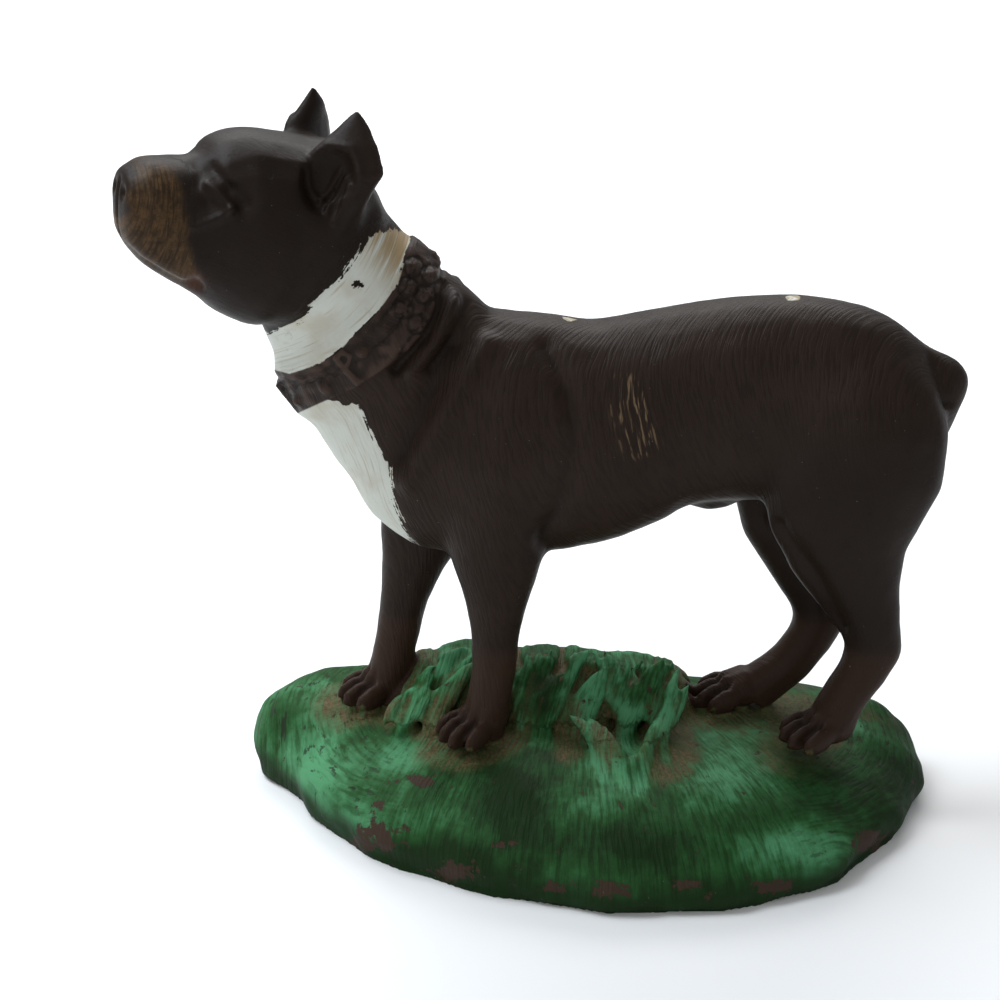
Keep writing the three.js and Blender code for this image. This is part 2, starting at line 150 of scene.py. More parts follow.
# Outlines of what is painted or made differently, on the same plane.
STRAP = [
    (-72, 149.5), (-63.6, 147.2), (-54.4, 150.4), (-48.3, 154.8), (-37.2, 166.1), (-30.4, 175.4),
    (-26, 190.2), (-24, 197), (-10, 187), (-15.5, 180.4), (-19.2, 168.6), (-24.1, 158.6),
    (-30.2, 152.3), (-43.7, 143), (-61, 134.9), (-68, 131),
]
NECK_BAND = [
    (-26, 190.6), (-30.4, 175.4), (-37.2, 166.1), (-48.3, 154.8), (-54.4, 150.4), (-63.6, 147.2),
    (-74, 146), (-76, 158), (-60, 163.6), (-53.7, 172.3), (-48.9, 176.7), (-43.3, 183.4),
    (-37.8, 190.8), (-33, 192),
]
BLAZE = [
    (-70, 147), (-60, 147), (-43, 146), (-44, 140), (-40.9, 132.4), (-36.9, 122.6), (-33.9, 116),
    (-32.9, 106), (-29.3, 94.6), (-25, 89.5), (-28.1, 90.8), (-37.4, 95.6), (-41, 102.3),
    (-45.2, 109.3), (-56, 122), (-68, 132),
]
MUZZLE = [
    (-112, 213), (-100, 211.5), (-94, 210), (-93, 201), (-92.7, 192), (-92.4, 186), (-90.4, 180),
    *MOUTH[::-1], (-115.5, 203),
]
SCRATCHES = [
    [(35.5, 144), (36.5, 136), (38.5, 128), (40.5, 122)],
    [(39.5, 144), (42, 137), (44, 130), (46.5, 124)],
]
BACK_CHIPS = [(21, 165), (87.5, 171.2)]
BAND_CHIP = (-42.6, 175.4)
TUFT_NOTCHES = (-21.0, 6.0, 20.0, 43.5)  # where the top of the tuft dips between its blades: X

# Soft spots on the mound, seen from the camera: X, Z and the half sizes along both. The lit spots are
# painted light and the shaded spots painted shade, as light falls on the mound; the earthy spots are
# earth and the flaked spots bare ground.
LIT_SPOTS = [
    (-60, 11, 18, 18), (-46, -11, 15, 10), (-28, 17, 12, 8), (-16, 49, 8, 8), (26, 38, 7, 16),
    (35, 13, 12, 10), (56, 33, 5, 15), (77, 13, 15, 13), (94, -18, 19, 9),
]
SHADED_SPOTS = [
    (3, -2, 18, 15), (46, -18, 29, 14), (118, 4, 21, 16), (13, 38, 7, 15), (-15, -21, 13, 8),
    (128, -8, 10, 13),
]
EARTHY_SPOTS = [
    (-15, 28, 16, 10), (23, 26, 6, 13), (34, 24, 6, 13), (55, 18, 10, 13), (89, 31, 31, 9),
    (-35, 33, 8, 6), (104, 22, 10, 5),
]
FLAKED_SPOTS = [
    (-41, -15, 10, 6), (-15, -28, 7, 4), (18, -33, 6, 3), (36, -34, 8, 3), (61, -32, 5, 3),
    (92, -33, 7, 3), (-26, 7, 6, 2), (2, -17, 5, 2), (-39, -2, 3, 2), (121, -15, 6, 5),
]

# The middle line of each leg's lower end: X, Z and its radius, for the left legs. The right legs
# lead them by the distances that follow.
FRONT_ANKLE = [(-1.8, 55, 7.4), (-3.5, 44, 7.6), (-6, 35, 7.8)]
FRONT_LEADS = [31.2, 31.9, 31.9]
HIND_ANKLE = [(116.6, 61, 8.6), (113.2, 53, 7.8), (108, 44, 7.8), (103.5, 34, 7.8)]
HIND_LEADS = [13.0, 12.6, 13.6, 20.5]
STANCE = 13.0
# The four paws: X, Y and Z of the middle, degrees that it points to the left, and its size.
PAWS = [
    (-5.2, -13, 32, 38, 1.0),
    (-37.1, 13, 32, 22, 1.0),
    (104.4, -13, 30.2, 22, 1.04),
    (79.6, 13, 30.2, 8, 1.04),
]
PAW_HALF = np.array([13.4, 9.4, 8.6])  # half sizes of a paw, with its toes
PAW_LEAD = 4.4  # how far its toes carry its middle ahead
TOE_PITCH = 4.3

# Grass blades that stand on the bank: where the root lies, where the tip stands, how far it bends
# sideways on its way, and its half width.
LEAVES = [
    ((-36, -13, 33), (-27, -2, 42), -1, 2.2),
    ((-32, -16, 31), (-22, -1, 44), -1, 2.3),
    ((-28, -14, 33), (-19, -3, 43), -1, 2.0),
    ((-24, -6, 38), (-11, 10, 51), -2, 4.2),
    ((-18, -6, 38), (-7, 8, 50), -1, 2.6),
    ((6, -12, 34), (9, 8, 50), -1, 3.2),
    ((9, -10, 36), (13, 9, 50), 0, 2.6),
    ((11, -17, 30), (17, 9, 51), -1, 3.2),
    ((15, -19, 30), (30, 9, 51), -4, 3.6),
    ((20, -14, 33), (25, 9, 50), -2, 2.4),
    ((39, -17, 31), (33, 9, 51), 3, 3.8),
    ((36, -12, 34), (30, 8, 50), 2, 2.4),
    ((42, -13, 33), (40, 7, 49), 2, 2.6),
    ((32, -37, 27), (21, -10, 37), 3, 2.8),
    ((38, -40, 27), (27, -11, 36), 3, 2.8),
    ((43, -43, 26), (52, -11, 37), -2, 3.0),
    ((46, -31, 28), (50, -12, 37), -1, 2.4),
    ((44, -14, 33), (49, 5, 47), -1, 2.4),
    ((49, -17, 31), (53, 6, 48), -1, 2.8),
    ((52, -27, 28), (58, 4, 47), -2, 3.0),
    ((56, -15, 33), (61, 0, 43), -1, 2.2),
]
ROOT_SUNK = 3.0  # how deep a leaf's root lies in the bank
LEAF_FRONT = 1.5  # how far a leaf stands out of its middle line
LEAF_BACK = 4.5  # how far it reaches back into the bank

# The turf's strokes fan out from a place behind the dog, and run around the mound at its ends.
FAN_AT = (29.0, 70.0)
FAN_REACH = 95.0
RING_AT = (29.0, 10.0)
RING_REACH = 60.0
RING_STRETCH = 1.45
TUFT_SLANT = 0.42  # how far the strokes of the tuft lean to the rear, for each unit of height
TURF_TOP = 57.0  # nothing over this height is turf

EVENING_ROUNDS = 90  # how often the facets are evened out
HOLLOW_DEPTH = 0.10  # a point that lies this much lower than its neighbours is fully hollow
BROAD_HOLLOW_DEPTH = 0.04  # the same for a broad hollow
FAR_OUTSIDE = -9.0  # a distance inside an outline that no paint reaches
HASH_STEPS = (73856093, 19349663, 83492791)  # large odd numbers that scatter the cells of the noise


# Reading and shaping a surface.


def smooth(low, high, value):
    """A step from 0 at low to 1 at high, with soft ends."""
    share = np.clip((value - low) / (high - low), 0.0, 1.0)
    return share * share * (3.0 - 2.0 * share)


def swell(distance, width):
    """A soft bell: 1 at no distance, and about a third at the width."""
    return np.exp(-((distance / width) ** 2))


def spots(points, places):
    """1 in the middle of a soft spot, and 0 away from them all."""
    return np.maximum.reduce(
        [
            swell(np.hypot((points[:, 0] - x) / wide, (points[:, 1] - z) / high), 1.0)
            for x, z, wide, high in places
        ]
    )


def cell_noise(points, seed=0):
    """Smooth noise from -1 to 1, one lump for each unit of length."""
    cell = np.floor(points).astype(np.int64)
    part = points - cell
    part = part * part * (3.0 - 2.0 * part)
    total = np.zeros(len(points))
    for corner in np.ndindex(2, 2, 2):
        at = cell + np.array(corner)
        key = np.bitwise_xor.reduce(at * HASH_STEPS, axis=1) ^ (seed * 7919 + 17)
        key = (key ^ (key >> 13)) * 1274126177 & 0xFFFFFFFF
        value = ((key ^ (key >> 16)) & 0xFFFF) / 32767.5 - 1.0
        weight = np.where(np.array(corner), part, 1.0 - part).prod(axis=1)
        total += weight * value
    return total


def noise_at(first, second, seed=0):
    return cell_noise(np.stack([first, second, np.full(len(first), 0.5)], axis=1), seed)


def cuts(across, along, pitch, length, seed):
    """Rounded ridges side by side with sharp cuts between them, about 0 high on average."""
    return 0.5 - 2.0 * np.abs(noise_at(across / pitch, along / length, seed))


def to_stretch(points, start, end):
    """How far along a straight stretch each point lies, from 0 to 1, and how far away from it."""
    along = end - start
    share = np.clip((points - start) @ along / (along @ along), 0.0, 1.0)
    return share, np.linalg.norm(points - start - share[:, None] * along, axis=1)


def to_line(points, line):
    """The distance from each point to a line of points, in as many dimensions as the line has."""
    line = np.array(line, float)
    nearest = np.full(len(points), np.inf)
    for start, end in zip(line[:-1], line[1:]):
        nearest = np.minimum(nearest, to_stretch(points, start, end)[1])
    return nearest


def relief(points, marks):
    """The height that marks give: each is a line or a point, with its height and its width."""
    height = np.zeros(len(points))
    for mark, rise, width in marks:
        is_line = np.ndim(mark) == 2
        gap = to_line(points, mark) if is_line else np.linalg.norm(points - mark, axis=1)
        height += rise * swell(gap, width)
    return height


def inside(points, outline):
    """How far each point lies inside a closed outline, and below zero how far outside."""
    corners = np.array(outline, float)
    ends = np.roll(corners, -1, axis=0)
    within = np.zeros(len(points), bool)
    for start, end in zip(corners, ends):
        spans = (start[1] > points[:, 1]) != (end[1] > points[:, 1])
        rise = end[1] - start[1] or 1e-9
        crossing = start[0] + (points[:, 1] - start[1]) * (end[0] - start[0]) / rise
        within ^= spans & (points[:, 0] < crossing)
    gap = to_line(points, np.vstack([corners, corners[:1]]))
    return np.where(within, gap, -gap)


def seen_from_camera(points):
    """Where points show on the upright plane through the middle of the dog: X and Z."""
    share = -CAMERA_AT[1] / (points[:, 1] - CAMERA_AT[1])
    shown = CAMERA_AT + (points - CAMERA_AT) * share[:, None]
    return shown[:, [0, 2]]


def to_left(points):
    """The points, with those on the right side mirrored to the left."""
    left = points.copy()
    left[:, 1] = -np.abs(left[:, 1])
    return left


def head_pose():
    turn = Matrix.Rotation(HEAD_TURN, 3, "Z") @ Matrix.Rotation(HEAD_ROLL, 3, "X")
    return np.array(turn)


def strap_places(side):
    """Places along the strap, up from its middle, and across it, towards the head."""
    along = (side - STRAP_AT) @ STRAP_ALONG
    across = (side - STRAP_AT) @ STRAP_ACROSS
    return along, across + STRAP_SAG * (1.0 - (along / STRAP_HALF_LENGTH) ** 2)


class Surface:
    """A mesh's points in millimetres in the dog's frame, with the views that the carving uses."""

    def __init__(self, mesh):
        self.mesh = mesh
        count = len(mesh.vertices)
        flat = np.empty(count * 3, np.float32)
        mesh.vertices.foreach_get("co", flat)
        self.at = flat.reshape(-1, 3).astype(float) / MM - SHOULDER_AT
        edges = np.empty(len(mesh.edges) * 2, np.int32)
        mesh.edges.foreach_get("vertices", edges)
        self.edges = edges.reshape(-1, 2)
        self.neighbours = np.bincount(edges, minlength=count)
        self.look()

    def look(self):
        """Works out the normals and the views of the points where they are now."""
        self.write()
        flat = np.empty(len(self.at) * 3, np.float32)
        self.mesh.vertex_normals.foreach_get("vector", flat)
        self.normal = flat.reshape(-1, 3).astype(float)
        self.seen = seen_from_camera(self.at)
        self.side = seen_from_camera(to_left(self.at))
        self.head = (self.at - HEAD_AT) @ head_pose()
        self.face = seen_from_camera(to_left(self.head) @ head_pose().T + HEAD_AT)
        self.on_side = smooth(0.15, 0.6, np.abs(self.normal[:, 1]))

    def write(self):
        """Puts the points back in the mesh."""
        flat = ((self.at + SHOULDER_AT) * MM).astype(np.float32)
        self.mesh.vertices.foreach_set("co", flat.ravel())
        self.mesh.update()

    def mean_of_neighbours(self, values):
        first, second = self.edges.T
        count = len(values)
        total = [
            np.bincount(first, values[second, k], count) + np.bincount(second, values[first, k], count)
            for k in range(values.shape[1])
        ]
        return np.stack(total, axis=1) / self.neighbours[:, None]

    def spread(self, values, amount, rounds):
        """Evens values out over the surface."""
        for _ in range(rounds):
            values = values + amount * (self.mean_of_neighbours(values) - values)
        return values

    def push(self, height):
        """Moves each point out along its normal."""
        self.at += self.normal * height[:, None]

    def keep(self, name, values):
        """Stores a value for each point, for the material to read."""
        kind = "FLOAT" if values.ndim == 1 else "FLOAT_VECTOR"
        field = "value" if values.ndim == 1 else "vector"
        attribute = self.mesh.attributes.new(name, kind, "POINT")
        attribute.data.foreach_set(field, values.astype(np.float32).ravel())


def ankles():
    """The middle lines of the lower legs, each point with its radius."""
    lines = []
    for places, leads in ((FRONT_ANKLE, FRONT_LEADS), (HIND_ANKLE, HIND_LEADS)):
        lines.append([(x, -STANCE, z, radius) for x, z, radius in places])
        lines.append([(x - lead, STANCE, z, r) for (x, z, r), lead in zip(places, leads)])
    return lines


def in_paw(points, paw):
    """Points in a paw's own frame: the toes along -X and the turf at Z = 0."""
    x, y, z, turn, size = paw
    own = (points - [x, y, z]) @ np.array(Matrix.Rotation(math.radians(turn), 3, "Z"))
    return own / [size, size, 1.0]


def gap_to_feet(points):
    """How far each point lies outside the nearest paw or ankle."""
    nearest = np.full(len(points), np.inf)
    for ankle in ankles():
        ankle = np.array(ankle)
        for start, end in zip(ankle[:-1], ankle[1:]):
            share, gap = to_stretch(points, start[:3], end[:3])
            radius = start[3] + share * (end[3] - start[3])
            nearest = np.minimum(nearest, gap - radius)
    for paw in PAWS:
        own = in_paw(points, paw)
        reach = np.linalg.norm((own + [PAW_LEAD, 0.0, -3.5]) / PAW_HALF, axis=1)
        nearest = np.minimum(nearest, (reach - 1.0) * PAW_HALF[1])
        under = (np.abs(own[:, 0] + PAW_LEAD) < 22) & (np.abs(own[:, 1]) < 18)
        nearest = np.where(under, np.maximum(nearest, 0.6 - own[:, 2]), nearest)
    return nearest


def turf_amount(points):
    """How far a point lies in the turf, away from the feet, and below zero how far up the dog."""
    return np.minimum(gap_to_feet(points) - 0.9, TURF_TOP - points[:, 2])


# Steps of the carving.


def even_out(form):
    """Takes the facets out of the broad forms and keeps the ears, nose, toes, strap and grass."""
    at = form.at
    turf = turf_amount(at)
    on_ear = smooth(20, 26, form.head[:, 2]) * smooth(10, 15, np.abs(form.head[:, 1]))
    on_nose = smooth(-52, -57, form.head[:, 0]) * smooth(15, 21, form.head[:, 2])
    on_strap = smooth(-3.0, 0.0, inside(form.side, STRAP))
    on_foot = smooth(48, 41, at[:, 2]) * smooth(4.0, -1.0, turf)
    on_grass = smooth(33.5, 37, at[:, 2]) * smooth(-1.0, 1.0, turf)
    hold = np.maximum.reduce([0.93 * on_ear, 0.8 * on_nose, 0.9 * on_strap, 0.94 * on_foot])
    hold = np.maximum(hold, 0.87 * on_grass)
    amount = (0.62 * (1.0 - hold) * smooth(0.3, 2.5, at[:, 2]))[:, None]
    once = form.spread(at, amount, EVENING_ROUNDS)
    form.at = once + form.spread(at - once, amount, EVENING_ROUNDS)
    form.look()


def carve_muscles(form):
    off_strap = smooth(-2.0, 0.5, -inside(form.side, STRAP))
    form.push(relief(form.side, BODY_MARKS) * form.on_side * off_strap)
    form.look()


def carve_face(form):
    on_head = smooth(-32, -38, form.at[:, 0]) * smooth(150, 160, form.at[:, 2])
    on_cheek = smooth(0.0, 0.35, np.abs(form.normal @ head_pose()[:, 1])) * on_head
    form.push(relief(form.face, FACE_MARKS) * on_cheek)
    form.look()
    carve_nose(form)
    carve_ears(form)
    form.look()


def from_whiskers(face):
    """Places across the curved strokes of the muzzle."""
    return np.hypot(face[:, 0] - WHISKERS[0], 0.62 * (face[:, 1] - WHISKERS[1]))


def carve_nose(form):
    """The nostrils, their wings, and the split of the nose between them."""
    head = form.head
    nostril = np.linalg.norm((to_left(head) - NOSTRIL_AT) / [2.0, 1.3, 1.5], axis=1)
    wing = np.linalg.norm((to_left(head) - NOSE_WING_AT) / [2.2, 1.6, 2.4], axis=1)
    height = -1.8 * swell(nostril, 1.0) + 0.5 * swell(wing, 1.0)
    split = swell(head[:, 1], 0.9) * smooth(-54, -58, head[:, 0]) * smooth(6, 10, head[:, 2])
    height -= 0.8 * split * smooth(26.5, 24, head[:, 2])
    form.push(height)


def carve_ears(form):
    face = form.face
    within = inside(face, EAR_HOLLOW)
    ahead = -form.normal @ head_pose()[:, 0] + 0.4 * np.abs(form.normal @ head_pose()[:, 1])
    on_ear = smooth(12, 15, np.abs(form.head[:, 1])) * smooth(8, 12, form.head[:, 2])
    height = 0.7 * swell(within + 0.6, 1.2)
    for lock in EAR_LOCKS:
        height += 1.1 * swell(to_line(face, lock), 0.85)
    form.push(height * on_ear * smooth(-0.1, 0.3, ahead))


def carve_collar(form):
    side = form.side
    within = inside(side, STRAP)
    on_strap = smooth(-0.6, 0.4, within) * smooth(128, 134, form.at[:, 2])
    height = np.zeros(len(side))
    for number, rosette in enumerate(ROSETTES):
        gap = np.linalg.norm(side - rosette, axis=1)
        petals = 1.0 + 0.25 * np.cos(5 * np.arctan2(*(side - rosette).T) + number)
        height += 1.1 * swell(gap, 1.5 * petals) - 0.5 * swell(gap - 3.0, 0.6)
    height += 1.1 * swell(to_line(side, KEEPER), 1.2)
    height += 0.9 * swell(to_line(side, HOOK), 0.8)
    height += 0.22 * cell_noise(form.at / 2.4, 21)
    form.push(height * on_strap)
    form.look()


def carve_paws(form):
    """Deepens the grooves between the toes."""
    height = np.zeros(len(form.at))
    for paw in PAWS:
        x, y, z = in_paw(form.at, paw).T
        fan = y / (1.0 + 0.03 * np.maximum(-x - 6.0, 0.0))
        groove = np.minimum.reduce([np.abs(fan - k * TOE_PITCH) for k in (-1, 0, 1)])
        near = smooth(-19, -17, x) * smooth(-3.5, -7, x) * smooth(9.5, 8, np.abs(y))
        height -= 1.1 * swell(groove, 0.8) * near * smooth(-0.5, 1.0, z) * smooth(14, 10, z)
    form.push(height)
    form.look()


def carve_coat(form):
    """The slight unevenness of the casting, all over the dog but its collar and its white band."""
    height = 0.14 * cell_noise(form.at / 5.0, 7) + 0.05 * cell_noise(form.at / 2.6, 5)
    on_dog = smooth(1.0, -1.5, turf_amount(form.at))
    bare = np.maximum(inside(form.side, STRAP), inside(form.side, NECK_BAND))
    form.push(height * on_dog * smooth(1.0, -0.5, bare))
    form.look()


def stroke_places(form):
    """Places across and along the strokes of the coat, the white band or the turf's fan."""
    x, y, z = form.at.T
    slant = 0.12 * (z - 90) + 0.0022 * np.maximum(z - 100, 0) ** 2
    across = x + slant + 0.9 * np.abs(y)
    along = z
    up_strap, towards_head = strap_places(form.side)
    on_neck = (z > 140) & (x < 0)
    on_head = on_neck & (towards_head > 0)
    across = np.where(on_head, form.face[:, 1] + 0.45 * form.face[:, 0], across)
    along = np.where(on_head, form.face[:, 0], along)
    on_muzzle = on_head & (inside(form.face, MUZZLE) > -3.0)
    across = np.where(on_muzzle, 1.3 * from_whiskers(form.face), across)
    along = np.where(on_muzzle, form.face[:, 1], along)
    on_band = on_neck & (inside(form.side, NECK_BAND) > -2.5)
    across = np.where(on_band, towards_head, across)
    along = np.where(on_band, up_strap, along)
    turf = turf_amount(form.at) > 0
    in_tuft = (z > 33.5) & (y > -24)
    fan_across, fan_along = turf_places(form.at)[:2]
    across = np.where(turf, np.where(in_tuft, x - TUFT_SLANT * (z - GROUND), fan_across), across)
    along = np.where(turf, np.where(in_tuft, z + y, fan_along), along)
    return np.stack([across, along, np.zeros(len(x))], axis=1)


def turf_places(points):
    """Places across and along the turf's fan, and across and along its rings."""
    x, y, _ = points.T
    fan = np.arctan2(x - FAN_AT[0], FAN_AT[1] - y) * FAN_REACH
    fan_along = np.hypot(x - FAN_AT[0], y - FAN_AT[1])
    right, back = (x - RING_AT[0]) / RING_STRETCH, y - RING_AT[1]
    return fan, fan_along, np.hypot(right, back), np.abs(np.arctan2(back, right)) * RING_REACH


def end_amount(points):
    """How far the strokes of the turf run around the mound here, from 0 to 1."""
    return smooth(48, 80, np.abs(points[:, 0] - RING_AT[0]))


def carve_turf(form):
    """Blades engraved all over the mound, and a broken lower edge."""
    x, y, z = form.at.T
    turf = turf_amount(form.at)
    bend = 0.5 * cell_noise(form.at / 16.0, 11)
    fan_across, fan_along, ring_across, ring_along = turf_places(form.at)
    fan = 0.16 * cuts(fan_across + bend, fan_along, 2.6, 12.0, 12)
    fan += 0.3 * cuts(fan_across + bend, fan_along, 5.2, 18.0, 13)
    ring = 0.16 * cuts(ring_across + bend, ring_along, 2.6, 12.0, 14)
    ring += 0.26 * cuts(ring_across + bend, ring_along, 5.2, 20.0, 16)
    tuft = 0.4 * cuts(x - TUFT_SLANT * (z - GROUND) + bend, z + y, 2.4, 16.0, 17)
    notch = np.maximum.reduce([swell(form.seen[:, 0] - at, 1.6) for at in TUFT_NOTCHES])
    tuft -= 2.2 * notch * smooth(44, 48, z)
    ends = end_amount(form.at)
    in_tuft = smooth(32, 35, z) * smooth(-28, -22, y)
    height = (fan * (1.0 - ends) + ring * ends) * (1.0 - in_tuft) + tuft * in_tuft
    # The spots painted in shade also get fainter strokes.
    worn = spots(form.seen, SHADED_SPOTS)
    height *= 1.0 - 0.55 * worn
    height += 0.35 * cell_noise(form.at / 7.0, 18) + 0.12 * cell_noise(form.at / 2.8, 20)
    rim = smooth(11.0, 4.0, z)
    lumps = cell_noise(form.at / [15.0, 15.0, 40.0], 15) + 0.5 * cell_noise(form.at / 6.0, 19)
    height = height * (1.0 - 0.5 * rim) + 1.1 * lumps * rim
    form.push(height * smooth(0.0, 1.5, turf) * smooth(0.4, 2.0, z))


def rest_on_the_floor(form, underside):
    form.at[underside, 2] = 0.0
    form.at[:, 2] = np.maximum(form.at[:, 2], 0.0)
    form.write()


def add_leaf(work, root, tip, bend, half_width):
    """A long leaf that swells in the middle, with its root sunk in the bank and a pointed tip."""
    made = bmesh.ops.create_uvsphere(work, u_segments=8, v_segments=12, radius=1.0)
    root, tip = Vector(root), Vector(tip)
    across = Vector((tip.z - root.z, 0, root.x - tip.x)).normalized()
    outward = across.cross(tip - root).normalized()
    root -= outward * ROOT_SUNK
    rise = tip - root
    for vertex in made["verts"]:
        share = 0.5 + 0.5 * vertex.co.z
        arch = 4.0 * share * (1.0 - share)
        middle = root + rise * share + across * (bend * arch) + outward * (0.4 * arch)
        taper = 1.0 - 0.6 * share**4
        thick = LEAF_FRONT if vertex.co.y > 0 else LEAF_BACK
        place = middle + across * (vertex.co.x * half_width * taper) + outward * (vertex.co.y * thick)
        vertex.co = (np.array(place) + SHOULDER_AT) * MM


def leaf_amount(points):
    """1 along the middle of a leaf, and 0 away from them all."""
    nearest = np.full(len(points), np.inf)
    for root, tip, bend, half_width in LEAVES:
        middle = (np.array(root) + tip) / 2 + [bend, 0.0, 0.0]
        nearest = np.minimum(nearest, to_line(points, [root, middle, tip]) / half_width)
    return smooth(0.95, 0.4, nearest)


def blank_with_leaves(name):
    """A copy of the casting's solid with the leaves of the tuft set into it."""
    work = bmesh.new()
    work.from_mesh(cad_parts[NODE].data)
    bmesh.ops.remove_doubles(work, verts=work.verts, dist=1e-6)
    for leaf in LEAVES:
        add_leaf(work, *leaf)
    mesh = bpy.data.meshes.new(name)
    work.to_mesh(mesh)
    work.free()
    blank = bpy.data.objects.new(name, mesh)
    bpy.context.scene.collection.objects.link(blank)
    return blank


def apply_modifier(blank, kind, **settings):
    """Replaces an object's mesh by what one modifier makes of it."""
    modifier = blank.modifiers.new(kind.title(), kind)
    for key, value in settings.items():
        setattr(modifier, key, value)
    evaluated = blank.evaluated_get(bpy.context.evaluated_depsgraph_get())
    mesh = bpy.data.meshes.new_from_object(evaluated)
    blank.modifiers.clear()
    blank.data = mesh
    return mesh


def triangle_count(mesh):
    return sum(len(polygon.vertices) - 2 for polygon in mesh.polygons)


def white_amount(form):
    """How far a point lies inside the white paint of the neck and the breast."""
    _, y, z = form.at.T
    chip = np.linalg.norm((form.seen - BAND_CHIP) / [1.9, 1.1], axis=1)
    band = np.where(z > 140, inside(form.side, NECK_BAND), FAR_OUTSIDE)
    band = np.where(y < 0, np.minimum(band, 1.6 * (chip - 1.0)), band)
    blaze = np.minimum(inside(form.side, BLAZE), 6.0 + 0.7 * (z - 92.0) - y)
    return np.maximum(band, np.where((z > 86) & (z < 146), blaze, FAR_OUTSIDE))


def store_paint_guides(form):
    """Stores where each paint lies, and where the surface is hollow or proud."""
    x, y, z = form.at.T
    turf = turf_amount(form.at)
    form.keep("turf", turf)
    form.keep("white", white_amount(form))
    on_neck = (z > 130) & (x < 5)
    form.keep("strap", np.where(on_neck, inside(form.side, STRAP), FAR_OUTSIDE))
    form.keep("up_strap", strap_places(form.side)[0])
    on_head = smooth(-60, -66, x) * smooth(150, 160, z)
    nose_pad = smooth(-57, -60, form.head[:, 0]) * smooth(12, 17, form.head[:, 2])
    form.keep("muzzle", np.where(on_head > 0.5, inside(form.face, MUZZLE), FAR_OUTSIDE) - 6.0 * nose_pad)
    form.keep("stroke", stroke_places(form))
    ring_across, ring_along = turf_places(form.at)[2:]
    form.keep("ring", np.stack([ring_across, ring_along, np.zeros(len(turf))], axis=1))
    form.keep("ends", end_amount(form.at) * (turf > 0) * (z < 40))
    rear = 0.5 * smooth(70, 100, x) * smooth(150, 125, z)
    form.keep("shade", np.maximum(0.6 * smooth(-28, -42, x) * smooth(150, 160, z), rear))
    # Painted highlight: how far a point on the top of the dog faces up, where the coat is painted paler.
    form.keep("up", smooth(0.75, 0.98, form.normal[:, 2]) * smooth(120, 150, z))
    # Painted shade: how near a point lies to the bottom of the mound, where the grass is painted darker.
    form.keep("rim", smooth(13, 5, z + 2.5 * cell_noise(form.at / 9.0, 23)))
    form.keep("lip", swell(np.linalg.norm(form.face - MOUTH_CORNER, axis=1), 3.0) * (x < -60))
    shown = y < 4
    scratch = np.minimum.reduce([to_line(form.seen, line) for line in SCRATCHES])
    form.keep("scratch", np.where(shown, 4.5 - scratch, FAR_OUTSIDE))
    chips = [np.linalg.norm((form.seen - chip) / [2.2, 1.2], axis=1) for chip in BACK_CHIPS]
    form.keep("chip", np.where(shown, 1.0 - np.minimum.reduce(chips), FAR_OUTSIDE))
    # Painted light and shade on the mound: higher in the lit spots, lower in the shaded spots.
    form.keep("bright", spots(form.seen, LIT_SPOTS) - 1.3 * spots(form.seen, SHADED_SPOTS))
    form.keep("earth", spots(form.seen, EARTHY_SPOTS))
    form.keep("flaked", spots(form.seen, FLAKED_SPOTS))
    form.keep("leaf", leaf_amount(form.at))
    form.keep("tuft", smooth(31, 35, z) * smooth(-30, -20, y))
    step = form.mean_of_neighbours(form.at) - form.at
    hollow = (step * form.normal).sum(axis=1, keepdims=True)
    fine = form.spread(hollow, 0.5, 1)
    broad = form.spread(hollow, 0.7, 12)
    form.keep("hollow", (fine[:, 0] / HOLLOW_DEPTH).clip(-1, 1))
    # The broad hollows are where the coat is painted in shade.
    form.keep("deep", (broad[:, 0] / BROAD_HOLLOW_DEPTH).clip(-1, 1))


def make_piece(settings):
    """The finished casting: a fine mesh that is carved, made lighter and given its paint guides."""
    blank = blank_with_leaves(PIECE)
    mesh = apply_modifier(
        blank, "REMESH", mode="VOXEL", voxel_size=settings.grain, adaptivity=0.0
    )
    form = Surface(mesh)
    underside = form.at[:, 2] < 0.35
    steps = (even_out, carve_muscles, carve_face, carve_collar, carve_paws, carve_coat, carve_turf)
    for step in steps:
        step(form)
    rest_on_the_floor(form, underside)
    share = settings.triangles / triangle_count(mesh)
    mesh = apply_modifier(blank, "DECIMATE", ratio=min(1.0, share))
    form = Surface(mesh)
    store_paint_guides(form)
    mesh.shade_smooth()
    return blank


# Materials.


